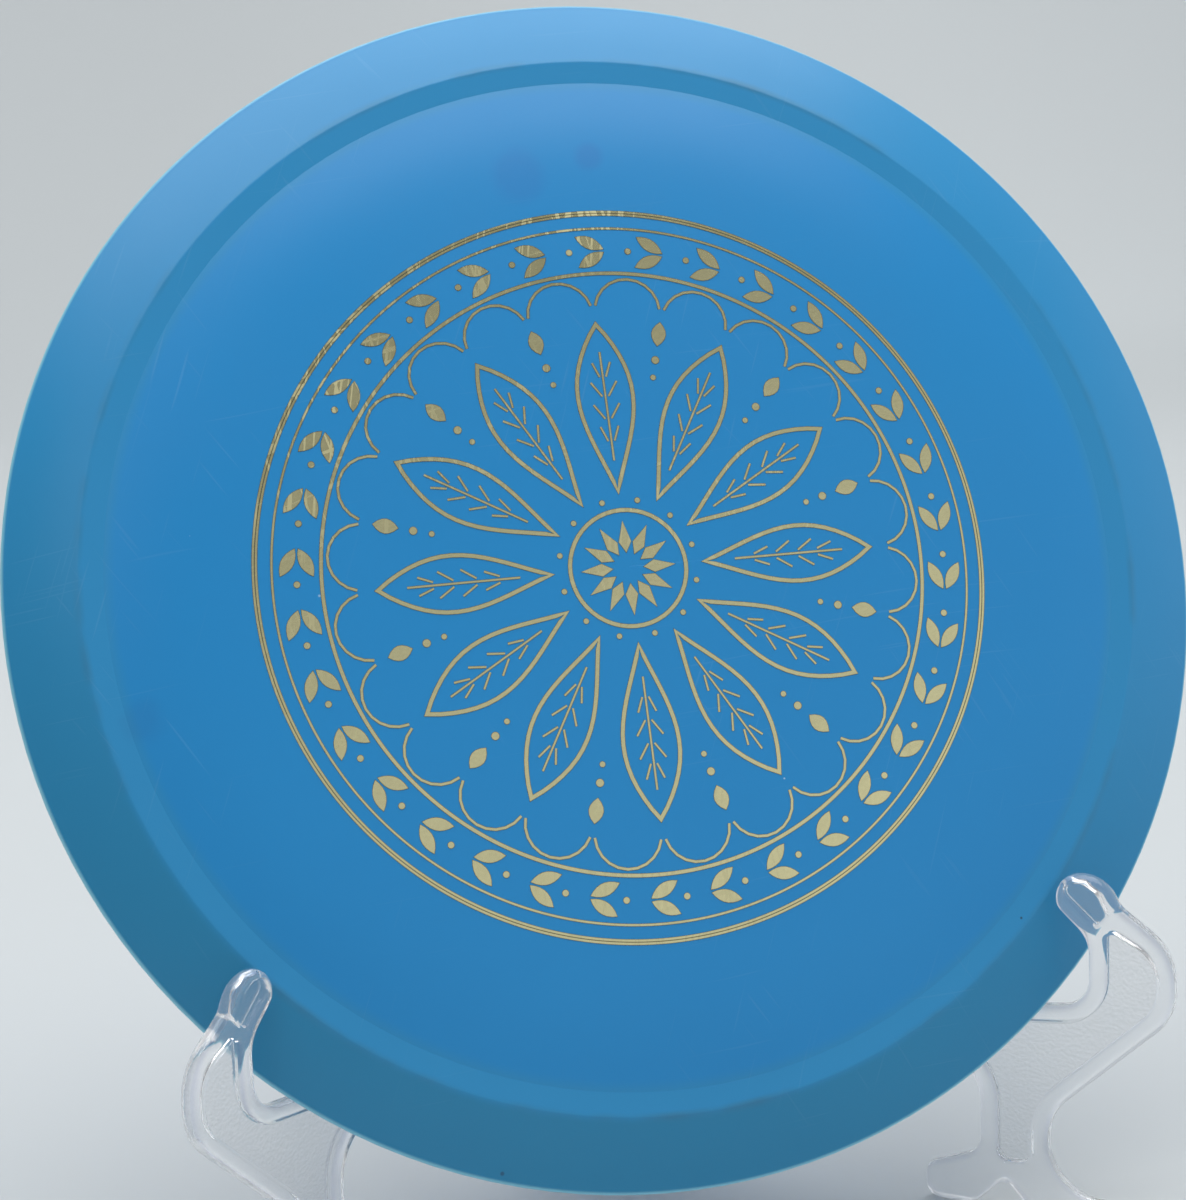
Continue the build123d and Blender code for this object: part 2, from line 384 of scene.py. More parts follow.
# ---------------------------------------------------------------- shared effects
def scratches_group():
    """Thin straight-ish scratches in three directions."""
    tree, given, result = new_group(
        "fine_scratches", "ShaderNodeTree",
        [("Vector", "NodeSocketVector"), ("Rarity", "NodeSocketFloat", 0.7)],
        [("Mask", "NodeSocketFloat")],
    )
    bend = put(
        tree, "ShaderNodeTexNoise",
        {"Vector": given.outputs["Vector"], "Scale": 14.0, "Detail": 1.0},
    )
    bent = vector_node(
        tree, "MULTIPLY_ADD", bend.outputs["Color"], (0.006, 0.006, 0.006),
        given.outputs["Vector"],
    )["Vector"]
    total = None
    for turn, across, along in ((0.4, 1900, 50), (1.5, 2300, 36), (2.6, 1700, 62)):
        turned_to = put(
            tree, "ShaderNodeVectorRotate", {"Vector": bent, "Angle": turn},
            rotation_type="Z_AXIS",
        )
        stretched = put(
            tree, "ShaderNodeMapping",
            {"Vector": turned_to.outputs[0], "Scale": (across, along, along)},
            vector_type="POINT",
        )
        streak = put(
            tree, "ShaderNodeTexNoise",
            {"Vector": stretched.outputs[0], "Scale": 1.0, "Detail": 0.0},
        )
        high = math_node(tree, "ADD", given.outputs["Rarity"], 0.05)
        mask = span(tree, streak.outputs[0], given.outputs["Rarity"], high)
        total = mask if total is None else math_node(tree, "MAXIMUM", total, mask)
    patches = put(
        tree, "ShaderNodeTexNoise",
        {"Vector": given.outputs["Vector"], "Scale": 26.0, "Detail": 2.0},
    )
    share = span(tree, patches.outputs[0], 0.45, 0.62)
    tree.links.new(math_node(tree, "MULTIPLY", total, share), result.inputs["Mask"])
    return tree


def specks_group():
    """Sparse round specks, each with its own size."""
    tree, given, result = new_group(
        "specks", "ShaderNodeTree",
        [("Vector", "NodeSocketVector"), ("Spacing", "NodeSocketFloat", 0.008),
         ("Size", "NodeSocketFloat", 0.0002), ("Share", "NodeSocketFloat", 0.5)],
        [("Mask", "NodeSocketFloat")],
    )
    scale = math_node(tree, "DIVIDE", 1.0, given.outputs["Spacing"])
    cells = put(
        tree, "ShaderNodeTexVoronoi",
        {"Vector": given.outputs["Vector"], "Scale": scale},
    )
    chance = put(tree, "ShaderNodeSeparateColor", {0: cells.outputs["Color"]})
    chosen = math_node(tree, "LESS_THAN", chance.outputs[0], given.outputs["Share"])
    reach = math_node(
        tree, "MULTIPLY",
        math_node(tree, "MULTIPLY", given.outputs["Size"], scale),
        math_node(tree, "ADD", chance.outputs[1], 0.5),
    )
    inside = span(
        tree, cells.outputs["Distance"], math_node(tree, "MULTIPLY", reach, 0.5),
        reach, 1.0, 0.0,
    )
    tree.links.new(math_node(tree, "MULTIPLY", inside, chosen), result.inputs["Mask"])
    return tree


def mottle_group():
    """Slow cloudy variation between 0 and 1."""
    tree, given, result = new_group(
        "mottle", "ShaderNodeTree",
        [("Vector", "NodeSocketVector"), ("Scale", "NodeSocketFloat", 30.0)],
        [("Value", "NodeSocketFloat")],
    )
    cloud = put(
        tree, "ShaderNodeTexNoise",
        {"Vector": given.outputs["Vector"], "Scale": given.outputs["Scale"],
         "Detail": 3.0, "Roughness": 0.6},
    )
    tree.links.new(span(tree, cloud.outputs[0], 0.28, 0.72), result.inputs["Value"])
    return tree


def effect(tree, name, build, inputs):
    """Place a shared effect in a material and give its output."""
    made = tree.nodes.new("ShaderNodeGroup")
    made.node_tree = bpy.data.node_groups.get(name) or build()
    return fill(tree, made, inputs).outputs[0]


def mottle(tree, vector, scale):
    """The cloudy variation at one scale."""
    return effect(tree, "mottle", mottle_group, {"Vector": vector, "Scale": scale})


def specks_on(tree, vector, spacing, size, share):
    """Specks of one size; spacing and size in millimetres."""
    return effect(
        tree, "specks", specks_group,
        {"Vector": vector, "Spacing": spacing * MM, "Size": size * MM,
         "Share": share},
    )


def new_material(name):
    """An empty material: its tree, its Principled shader and object coordinates."""
    material = bpy.data.materials.new(name)
    material.use_nodes = True
    tree = material.node_tree
    tree.nodes.clear()
    shader = put(tree, "ShaderNodeBsdfPrincipled")
    put(tree, "ShaderNodeOutputMaterial", {0: shader.outputs[0]})
    place = put(tree, "ShaderNodeTexCoord").outputs["Object"]
    return material, tree, shader, place


def wear(node, material):
    """Give a carried-over CAD node one material."""
    for slot in node.material_slots:
        slot.material = material


# ---------------------------------------------------------------- disc plastic
# Marks on the disc: across, up, reach (metres), strength, colour
DISC_MARKS = (
    (-0.0105, 0.0715, 0.0060, 0.16, (0.035, 0.110, 0.420)),
    (0.0030, 0.0745, 0.0032, 0.20, (0.035, 0.110, 0.420)),
    (-0.0850, -0.0180, 0.0050, 0.14, (0.020, 0.110, 0.330)),
    (0.0625, -0.0672, 0.0004, 0.90, (0.006, 0.030, 0.060)),
    (-0.0330, -0.0990, 0.0005, 0.70, (0.010, 0.050, 0.120)),
)

# Radii between which each zone's colour takes over from the one inside it
LAND_BLEND = (0.0868, 0.0895)
WING_BLEND = (0.0925, 0.0945)
NOSE_BLEND = (0.1053, 0.1059)
# Darker line in the corner of land and wing: radii where it comes and goes
CORNER_IN = (0.0922, 0.0931)
CORNER_OUT = (0.0933, 0.0946)
# Painted light: the wing takes its paler, lit colour along this direction, towards its
# upper right where more light falls, between these distances
LIT_SIDE_WAY = (0.4, 1.0, 0.0)
LIT_SIDE_BLEND = (-0.10, 0.05)

CLOUD_TINT = (0.86, 0.93, 0.95)
SCRATCH_COLOUR = (0.30, 0.52, 0.74)
SPECK_COLOUR = (0.55, 0.72, 0.85)
GRIME_COLOUR = (0.02, 0.06, 0.11)
CORNER_COLOUR = (0.035, 0.150, 0.235)


def disc_plastic(look):
    """Blue moulded plastic with fine scratches, specks, smudges and a darker line in
    the corner of land and wing.
    """
    material, tree, shader, place = new_material("blue_disc_plastic")
    flat = put(
        tree, "ShaderNodeMapping",
        {"Vector": place, "Location": DISC_CENTRE, "Rotation": (DISC_TILT, 0, 0)},
        vector_type="TEXTURE",
    ).outputs[0]
    in_plane = vector_node(tree, "MULTIPLY", flat, (1.0, 1.0, 0.0))["Vector"]
    radius = vector_node(tree, "LENGTH", in_plane)["Value"]

    clouds = mottle(tree, flat, 22.0)
    grain = mottle(tree, flat, 900.0)
    scratches = effect(
        tree, "fine_scratches", scratches_group, {"Vector": flat, "Rarity": 0.775}
    )
    specks = specks_on(tree, flat, 11.0, 0.22, 0.35)
    grime = specks_on(tree, flat, 31.0, 0.45, 0.2)

    on_land = span(tree, radius, *LAND_BLEND, smooth=True)
    on_wing = span(tree, radius, *WING_BLEND, smooth=True)
    on_nose = span(tree, radius, *NOSE_BLEND, smooth=True)
    colour = blend_colour(tree, on_land, look.plate_colour, look.land_colour)
    # Painted light: the wing is painted paler towards its upper right, where more light
    # falls
    toward_lit_side = vector_node(tree, "DOT_PRODUCT", flat, LIT_SIDE_WAY)["Value"]
    upper = span(tree, toward_lit_side, *LIT_SIDE_BLEND, smooth=True)
    wing = blend_colour(tree, upper, look.wing_colour, look.painted_light_wing_colour)
    colour = blend_colour(tree, on_wing, colour, wing)
    # Painted highlight: a pale line along the nose
    colour = blend_colour(tree, on_nose, colour, look.painted_light_nose_colour)
    darker = blend_colour(tree, 1.0, colour, CLOUD_TINT, "MULTIPLY")
    colour = tinted(tree, colour, clouds, 0.5, darker)
    colour = tinted(tree, colour, scratches, look.scratches * 0.5, SCRATCH_COLOUR)
    colour = tinted(tree, colour, specks, look.specks, SPECK_COLOUR)
    colour = tinted(tree, colour, grime, 0.7, GRIME_COLOUR)
    # A darker line in the corner of land and wing, broken into patches
    corner = math_node(
        tree, "MULTIPLY", span(tree, radius, *CORNER_IN, smooth=True),
        span(tree, radius, *CORNER_OUT, 1.0, 0.0, smooth=True),
    )
    patchiness = mottle(tree, flat, 38.0)
    corner_darkening = math_node(
        tree, "MULTIPLY", corner, span(tree, patchiness, 0.45, 0.95, 0.0, 0.45)
    )
    colour = blend_colour(tree, corner_darkening, colour, CORNER_COLOUR)
    for x, y, reach, strength, tint in DISC_MARKS:
        away = vector_node(tree, "DISTANCE", in_plane, (x, y, 0.0))["Value"]
        ragged = math_node(
            tree, "MULTIPLY_ADD", patchiness, reach * 0.8,
            math_node(tree, "SUBTRACT", away, reach * 0.4),
        )
        spot = span(tree, ragged, reach * 0.35, reach, strength, 0.0, smooth=True)
        colour = blend_colour(tree, spot, colour, tint)

    rough = span(tree, clouds, 0.0, 1.0, look.roughness - 0.04, look.roughness + 0.05)
    rough = math_node(
        tree, "ADD", rough, math_node(tree, "MULTIPLY", scratches, 0.05)
    )
    height = math_node(
        tree, "SUBTRACT", math_node(tree, "MULTIPLY", grain, 0.06),
        math_node(tree, "MULTIPLY", scratches, look.scratches),
    )
    add_bump(tree, shader, height, 0.12, 0.1 * MM)
    fill(tree, shader, {"Base Color": colour, "Roughness": rough, "IOR": 1.50})
    return material


class GOLFDISPLAY_OT_finish_disc(bpy.types.Operator):
    """Give the disc its blue moulded plastic"""

    bl_idname = "golf_display.finish_disc"
    bl_label = "Finish Disc"

    def execute(self, context):
        look = context.scene.golf_display.disc
        wear(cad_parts["golf_disc"], disc_plastic(look))
        return {"FINISHED"}


# ---------------------------------------------------------------- foil shapes
class FlatShapes:
    """Flat shapes in the disc's plane: X round the disc, Y out from its centre.

    Each shape has a narrow border strip; the point attribute "edge" is 1 on the
    outside of the border and 0 inside it.
    """

    def __init__(self, border):
        self.border = border
        self.points = []
        self.faces = []
        self.edge = []

    def row(self, points, edge):
        """Add points and return their numbers."""
        start = len(self.points)
        self.points += [(p.x, p.y, 0.0) for p in points]
        self.edge += [edge] * len(points)
        return list(range(start, len(self.points)))

    def ribbon(self, path, width, closed=False):
        """A line of even width along a path, open or closed."""
        sides = side_vectors(path, closed)
        half = width / 2
        rows = [
            self.row([p + s * reach for p, s in zip(path, sides)], edge)
            for reach, edge in (
                (-half, 1.0), (self.border - half, 0.0),
                (half - self.border, 0.0), (half, 1.0),
            )
        ]
        for low, high in zip(rows, rows[1:]):
            self.faces += quads(low, high, closed)

    def plaque(self, outline):
        """A filled shape from an anticlockwise outline."""
        sides = side_vectors(outline, True)
        outer = self.row(outline, 1.0)
        inner = self.row([p + s * self.border for p, s in zip(outline, sides)], 0.0)
        self.faces += quads(outer, inner)
        self.faces.append(tuple(inner))

    def to_object(self, name):
        """The shapes as a mesh object."""
        mesh = bpy.data.meshes.new(name)
        mesh.from_pydata(self.points, [], self.faces)
        values = mesh.attributes.new("edge", "FLOAT", "POINT")
        values.data.foreach_set("value", self.edge)
        return add_object(name, mesh)


# Keeps a mitre at a very sharp corner from running out too far
MITRE_LIMIT = 0.4


def side_vectors(path, closed):
    """For each path point, the mitred vector one unit to the left of the path."""
    count = len(path)
    sides = []
    for i, here in enumerate(path):
        before = path[i - 1] if i > 0 or closed else None
        after = path[(i + 1) % count] if i < count - 1 or closed else None
        way_in = (here - before).normalized() if before is not None else None
        way_out = (after - here).normalized() if after is not None else None
        way_in = way_in or way_out
        way_out = way_out or way_in
        left_in = Vector((-way_in.y, way_in.x))
        left_out = Vector((-way_out.y, way_out.x))
        spread = max(1 + left_in.dot(left_out), MITRE_LIMIT)
        sides.append((left_in + left_out) / spread)
    return sides


def polar(radius, angle):
    """A point at a radius, turned anticlockwise from straight up."""
    return Vector((-radius * math.sin(angle), radius * math.cos(angle)))


def arc(radius, first, last, steps, middle=Vector((0.0, 0.0))):
    """Points along an arc, anticlockwise from straight up."""
    return [
        middle + polar(radius, first + (last - first) * i / steps)
        for i in range(steps + 1)
    ]


# Powers of the sine that draws an outline: under 1 it swells sooner at the ends
LEAF_FULLNESS = 0.85
PETAL_FULLNESS = 0.9
# Over 1, the petal is widest past the middle, towards its tip
PETAL_LATENESS = 1.25


def pointed_leaf(length, width, steps=7):
    """Anticlockwise outline of a leaf along Y, pointed at both its ends."""
    half = length / 2
    right = [
        Vector((
            width / 2 * math.sin(math.pi * i / steps) ** LEAF_FULLNESS,
            -half + length * i / steps,
        ))
        for i in range(steps + 1)
    ]
    left = [Vector((-p.x, p.y)) for p in reversed(right[1:-1])]
    return right + left


def petal_side(root, tip, widest, steps):
    """One side of a petal, from its root to its tip, as (half width, radius)."""
    points = []
    for i in range(steps + 1):
        share = i / steps
        swell = 0.0
        if 0 < share < 1:
            swell = math.sin(math.pi * share ** PETAL_LATENESS) ** PETAL_FULLNESS
        points.append((widest * swell, root + (tip - root) * share))
    return points


def turned(points, angle, move=Vector((0.0, 0.0))):
    """Points turned anticlockwise and then moved."""
    turn = Matrix.Rotation(angle, 2)
    return [turn @ p + move for p in points]


def dot(radius, middle, corners=12):
    """Anticlockwise outline of a round dot."""
    return [
        middle + polar(radius, math.tau * i / corners) for i in range(corners)
    ]


# The stamp's design, in millimetres
PLAIN_RINGS = (             # radius, width
    (64.22, 0.50), (63.70, 0.50), (61.1, 0.48), (52.8, 0.72),
)
GARLAND_RADIUS = 56.9
SPRIG_LEAF = (5.6, 2.3)     # length, width
SPRIG_SPLAY = 28            # degrees
LEAF_ALONG, LEAF_OUT = 0.9, 1.55
BERRY_ALONG, BERRY_RADIUS = -2.9, 0.62
PETAL_ROOT, PETAL_TIP = 13.5, 43.5
PETAL_HALF_WIDTH = 4.9
MIDRIB = (19.0, 23.0, 27.0, 31.0, 35.0, 38.5)
SIDE_VEINS = ((22.5, 1.6), (26.5, 2.3), (30.5, 2.3), (34.0, 1.6))  # up, reach
VEIN_ROOT, VEIN_RISE = 0.55, 2.6
LOZENGE = (4.6, 2.7)        # length, width
LOZENGE_RADIUS = 42.4
DOTS = ((37.6, 0.75), (34.4, 0.55))  # place, radius
BOW_CHORD_RADIUS = 44.2
BOW_RADIUS = 46.0
BOW_HALF_SWEEP = 84         # degrees
HEART_RING = 10.2
HEART_RAY = ((0.0, 2.6), (1.15, 4.6), (0.0, 8.4), (-1.15, 4.6))
HEART_BEAD, HEART_BEAD_RADIUS = 0.55, 12.1
BOLD_LINE, BOW_LINE, VEIN_LINE = 0.8, 0.55, 0.45


def ring_part(shapes, parts):
    """One short arc of each plain ring."""
    step = math.pi / parts
    for radius, width in PLAIN_RINGS:
        shapes.ribbon(arc(radius * MM, step, -step, steps=4), width * MM)


def sprig(shapes, _count):
    """One sprig of the garland: two leaves and a berry."""
    middle = Vector((0.0, GARLAND_RADIUS * MM))
    for side in (1, -1):
        leaf = pointed_leaf(*(size * MM for size in SPRIG_LEAF))
        place = middle + Vector((LEAF_ALONG * MM, side * LEAF_OUT * MM))
        shapes.plaque(turned(leaf, math.radians(90 - side * SPRIG_SPLAY), place))
    shapes.plaque(dot(BERRY_RADIUS * MM, middle + Vector((BERRY_ALONG * MM, 0.0))))


def petal(shapes, count):
    """One petal of the rosette with its veins, and what stands beside it."""
    side = petal_side(
        PETAL_ROOT * MM, PETAL_TIP * MM, PETAL_HALF_WIDTH * MM, steps=16
    )
    outline = [Vector((x, y)) for x, y in side]
    outline += [Vector((-x, y)) for x, y in reversed(side[1:-1])]
    shapes.ribbon(outline, BOLD_LINE * MM, closed=True)
    shapes.ribbon([Vector((0.0, y * MM)) for y in MIDRIB], VEIN_LINE * MM)
    for low, reach in SIDE_VEINS:
        for way in (1, -1):
            root = Vector((way * VEIN_ROOT * MM, low * MM))
            tip = Vector((way * reach * MM, (low + VEIN_RISE) * MM))
            shapes.ribbon([root, tip], VEIN_LINE * MM)
    half_step = math.pi / count
    lozenge = pointed_leaf(*(size * MM for size in LOZENGE), steps=6)
    shapes.plaque(turned(lozenge, -half_step, polar(LOZENGE_RADIUS * MM, -half_step)))
    for radius, size in DOTS:
        shapes.plaque(dot(size * MM, polar(radius * MM, -half_step)))
    reach = BOW_CHORD_RADIUS * MM * math.sin(half_step / 2)
    sweep = math.radians(BOW_HALF_SWEEP)
    bow = arc(reach, sweep, -sweep, steps=10)
    for lean in (half_step / 2, -half_step / 2):
        shapes.ribbon(turned(bow, lean, polar(BOW_RADIUS * MM, lean)), BOW_LINE * MM)


def heart_part(shapes, count):
    """One part of the rosette's heart: star ray, ring arc and bead."""
    step = math.pi / count
    shapes.ribbon(arc(HEART_RING * MM, step, -step, steps=4), BOLD_LINE * MM)
    shapes.plaque([Vector((x * MM, y * MM)) for x, y in HEART_RAY])
    place = polar(HEART_BEAD_RADIUS * MM, step)
    shapes.plaque(dot(HEART_BEAD * MM, place, corners=10))


# Points closer than this become one, in metres
MERGE_PARTS = 0.002 * MM
MERGE_SHELL = 0.001 * MM
MERGE_CAD = 1e-7


def foil_tree():
    """Nodes that repeat a flat motif round the plate and lay it on the dome."""
    tree, given, result = new_group(
        "foil_round_the_plate", "GeometryNodeTree",
        [
            ("Geometry", "NodeSocketGeometry"),
            ("Count", "NodeSocketInt", 12),
            ("Centre", "NodeSocketVector", tuple(DISC_CENTRE)),
            ("Tilt", "NodeSocketFloat", DISC_TILT),
            ("Off Centre", "NodeSocketVector", (0.0, 0.0, 0.0)),
            ("Crown", "NodeSocketFloat", DOME_CROWN),
            ("Fall", "NodeSocketFloat", DOME_FALL),
            ("Flatness", "NodeSocketFloat", DOME_FLATNESS),
            ("Stand-off", "NodeSocketFloat", 0.03 * MM),
            ("Thickness", "NodeSocketFloat", 0.03 * MM),
            ("Foil", "NodeSocketMaterial"),
        ],
        [("Geometry", "NodeSocketGeometry")],
    )
    source = given.outputs
    points = put(tree, "GeometryNodePoints", {"Count": source["Count"]})
    index = put(tree, "GeometryNodeInputIndex").outputs[0]
    step = math_node(tree, "DIVIDE", math.tau, source["Count"])
    turn = put(
        tree, "ShaderNodeCombineXYZ", {"Z": math_node(tree, "MULTIPLY", index, step)}
    )
    repeated = put(
        tree, "GeometryNodeInstanceOnPoints",
        {"Points": points.outputs[0], "Instance": source["Geometry"],
         "Rotation": turn.outputs[0]},
    )
    flat = put(tree, "GeometryNodeRealizeInstances", {0: repeated.outputs[0]})
    joined = put(
        tree, "GeometryNodeMergeByDistance",
        {"Geometry": flat.outputs[0], "Distance": MERGE_PARTS},
    )
    shifted = put(
        tree, "GeometryNodeTransform",
        {"Geometry": joined.outputs[0], "Translation": source["Off Centre"]},
    )

    # The plate falls from its crown by radius² × (fall × radius - flatness)
    position = put(tree, "GeometryNodeInputPosition").outputs[0]
    radius = vector_node(tree, "LENGTH", position)["Value"]
    steepness = math_node(
        tree, "SUBTRACT", math_node(tree, "MULTIPLY", source["Fall"], radius),
        source["Flatness"],
    )
    drop = math_node(
        tree, "MULTIPLY", math_node(tree, "MULTIPLY", radius, radius), steepness
    )
    level = math_node(
        tree, "SUBTRACT",
        math_node(tree, "ADD", source["Crown"], source["Stand-off"]), drop,
    )
    rise = put(tree, "ShaderNodeCombineXYZ", {"Z": level}).outputs[0]
    laid = put(
        tree, "GeometryNodeSetPosition",
        {"Geometry": shifted.outputs[0], "Offset": rise},
    )
    raised = put(
        tree, "GeometryNodeExtrudeMesh",
        {"Mesh": laid.outputs[0], "Offset": (0.0, 0.0, 1.0),
         "Offset Scale": source["Thickness"], "Individual": False},
        mode="FACES",
    )
    underside = put(tree, "GeometryNodeFlipFaces", {0: laid.outputs[0]})
    both = put(tree, "GeometryNodeJoinGeometry")
    tree.links.new(raised.outputs[0], both.inputs[0])
    tree.links.new(underside.outputs[0], both.inputs[0])
    closed = put(
        tree, "GeometryNodeMergeByDistance",
        {"Geometry": both.outputs[0], "Distance": MERGE_SHELL},
    )
    lean = put(tree, "ShaderNodeCombineXYZ", {"X": source["Tilt"]}).outputs[0]
    placed = put(
        tree, "GeometryNodeTransform",
        {"Geometry": closed.outputs[0], "Translation": source["Centre"],
         "Rotation": lean},
    )
    whole = put(tree, "GeometryNodeRealizeInstances", {0: placed.outputs[0]})
    coated = put(
        tree, "GeometryNodeSetMaterial",
        {"Geometry": whole.outputs[0], "Material": source["Foil"]},
    )
    tree.links.new(coated.outputs[0], result.inputs[0])
    return tree


def stamp(name, build, count, look, material):
    """Build one foil piece: its motif, repeated, laid on the plate and baked."""
    shapes = FlatShapes(look.border)
    build(shapes, count)
    piece = shapes.to_object(name)
    tree = bpy.data.node_groups.get("foil_round_the_plate") or foil_tree()
    modifier = piece.modifiers.new("round the plate", "NODES")
    modifier.node_group = tree
    values = {
        "Count": count,
        "Centre": DISC_CENTRE,
        "Tilt": DISC_TILT,
        "Off Centre": look.off_centre,
        "Crown": DOME_CROWN,
        "Fall": DOME_FALL,
        "Flatness": DOME_FLATNESS,
        "Stand-off": look.stand_off,
        "Thickness": look.thickness,
        "Foil": material,
    }
    for item in tree.interface.items_tree:
        if item.in_out == "INPUT" and item.name in values:
            modifier[item.identifier] = values[item.name]
    apply_modifiers(piece)
    if not piece.data.polygons:
        raise RuntimeError(f"the foil piece {name} came out empty")
    piece.data.name = name
    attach(piece, "golf_disc")


def foil_material(look):
    """Satin gold foil, a little worn, and darker along its pressed edges."""
    material, tree, shader, place = new_material("pale_gold_foil")
    clouds = mottle(tree, place, 70.0)
    grain = mottle(tree, place, 1500.0)
    scratches = effect(
        tree, "fine_scratches", scratches_group, {"Vector": place, "Rarity": 0.62}
    )
    edge = put(tree, "ShaderNodeAttribute", attribute_name="edge").outputs["Fac"]
    colour = tinted(tree, look.colour, clouds, 0.35, scaled(look.colour, 0.82))
    colour = tinted(tree, colour, grain, 0.25, scaled(look.colour, 0.7))
    colour = blend_colour(
        tree, span(tree, edge, 0.1, 0.8, 0.0, 0.9), colour, look.edge_colour
    )
    rough = span(tree, clouds, 0.0, 1.0, 0.15, 0.24)
    rough = math_node(tree, "ADD", rough, math_node(tree, "MULTIPLY", scratches, 0.2))
    add_bump(tree, shader, grain, 0.15, 0.05 * MM)
    fill(tree, shader, {"Base Color": colour, "Roughness": rough, "Metallic": 1.0})
    return material


class GOLFDISPLAY_OT_stamp_foil(bpy.types.Operator):
    """Stamp the rings, garland and rosette on the plate"""

    bl_idname = "golf_display.stamp_foil"
    bl_label = "Stamp Foil"

    def execute(self, context):
        look = context.scene.golf_display.foil
        material = foil_material(look)
        stamp("foil_rings", ring_part, look.ring_parts, look, material)
        stamp("foil_garland", sprig, look.sprigs, look, material)
        stamp("foil_petals", petal, look.petals, look, material)
        stamp("foil_heart", heart_part, look.petals, look, material)
        return {"FINISHED"}


# ---------------------------------------------------------------- clear stand
# Finger slot, corner by corner: out from the hinge, up, radius (millimetres)
FINGER_SLOT = (
    (97.7, 55.1, 0.9), (99.6, 57.2, 0.9), (97.9, 60.7, 2.4), (95.5, 62.1, 1.4),
    (92.4, 62.1, 1.2), (92.1, 60.2, 1.1),
)
SLOT_FLOOR = 0.74           # slot floor from the leaf's middle, millimetres
SLOT_ROUND = 0.75           # round on the slot's upper edge, millimetres
LEAF_FACE = 1.7             # leaf's face from its middle, millimetres
SHARP_ANGLE = math.radians(32)  # edges that turn more than this stay sharp


def rounded(corners, steps=6):
    """Points of an anticlockwise polygon with its corners rounded."""
    count = len(corners)
    points = []
    for i, (x, y, radius) in enumerate(corners):
        here = Vector((x, y))
        before = Vector(corners[i - 1][:2])
        after = Vector(corners[(i + 1) % count][:2])
        back, ahead = (before - here).normalized(), (after - here).normalized()
        half = back.angle(ahead) / 2
        centre = here + (back + ahead).normalized() * (radius / math.sin(half))
        start = here + back * (radius / math.tan(half)) - centre
        swing = math.pi - 2 * half
        for k in range(steps + 1):
            points.append(centre + Matrix.Rotation(swing * k / steps, 2) @ start)
    return points


def leaf_place(side):
    """The leaf's own frame: X out from the hinge, Y up, Z off its middle."""
    along = Vector((side * math.sin(LEAF_ANGLE), -math.cos(LEAF_ANGLE), 0.0))
    up = Vector((0.0, 0.0, 1.0))
    off = along.cross(up)
    middle = Vector((side * math.cos(LEAF_ANGLE), math.sin(LEAF_ANGLE), 0.0))
    place = Matrix((along, up, off)).transposed().to_4x4()
    return Matrix.Translation(middle * LEAF_OFFSET) @ place


def slot_cutter(side):
    """A cutter for the finger's slot on both faces of a leaf."""
    outline = rounded(FINGER_SLOT)
    sides = side_vectors(outline, True)
    profile = [(0.0, SLOT_FLOOR)]
    for k in range(7):
        angle = math.pi / 2 * k / 6
        profile.append((
            SLOT_ROUND * (1 - math.cos(angle)),
            LEAF_FACE - SLOT_ROUND + SLOT_ROUND * math.sin(angle),
        ))
    # The cutter goes on a little above the face, so that it cuts right through it
    profile.append((SLOT_ROUND + 0.02, LEAF_FACE + 0.4))
    points, faces = [], []
    count = len(outline)
    for face in (1, -1):
        first = len(points)
        for widen, height in profile:
            points += [
                ((p.x - s.x * widen) * MM, (p.y - s.y * widen) * MM, face * height * MM)
                for p, s in zip(outline, sides)
            ]
        rows = [
            list(range(first + k * count, first + (k + 1) * count))
            for k in range(len(profile))
        ]
        ring = []
        for low, high in zip(rows, rows[1:]):
            ring += quads(low, high)
        ring += [tuple(reversed(rows[0])), tuple(rows[-1])]
        faces += ring if face > 0 else [tuple(reversed(one)) for one in ring]
    mesh = bpy.data.meshes.new("slot_cutter")
    mesh.from_pydata(points, [], faces)
    mesh.transform(leaf_place(side))
    return add_object("slot_cutter", mesh)


def apply_modifiers(piece):
    """Bake an object's modifiers into its mesh."""
    graph = bpy.context.evaluated_depsgraph_get()
    baked = bpy.data.meshes.new_from_object(piece.evaluated_get(graph), depsgraph=graph)
    piece.modifiers.clear()
    source, piece.data = piece.data, baked
    bpy.data.meshes.remove(source)


def moulded_leaf(node, side, material):
    """The leaf with its longer finger slot, shaded as the CAD leaf elsewhere."""
    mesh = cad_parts[node].data.copy()
    shading = mesh.attributes.new("moulded_shading", "FLOAT_VECTOR", "CORNER")
    normals = [part for corner in mesh.corner_normals for part in corner.vector]
    shading.data.foreach_set("vector", normals)
    if "custom_normal" in mesh.attributes:
        mesh.attributes.remove(mesh.attributes["custom_normal"])
    shell = bmesh.new()
    shell.from_mesh(mesh)
    bmesh.ops.remove_doubles(shell, verts=shell.verts, dist=MERGE_CAD)
    shell.to_mesh(mesh)
    shell.free()
    piece = add_object(f"{node}_moulding", mesh)
    cutter = slot_cutter(side)
    cut = piece.modifiers.new("finger slot", "BOOLEAN")
    cut.operation = "DIFFERENCE"
    cut.solver = "EXACT"
    cut.object = cutter
    apply_modifiers(piece)
    bpy.data.meshes.remove(cutter.data)
    mesh = piece.data
    mesh.name = piece.name
    mesh.polygons.foreach_set("use_smooth", [True] * len(mesh.polygons))
    mesh.set_sharp_from_angle(angle=SHARP_ANGLE)
    shading = mesh.attributes["moulded_shading"]
    normals = [tuple(corner.vector) for corner in shading.data]
    mesh.attributes.remove(shading)
    mesh.normals_split_custom_set(normals)
    mesh.materials.clear()
    mesh.materials.append(material)
    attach(piece, node)
    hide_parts(node)


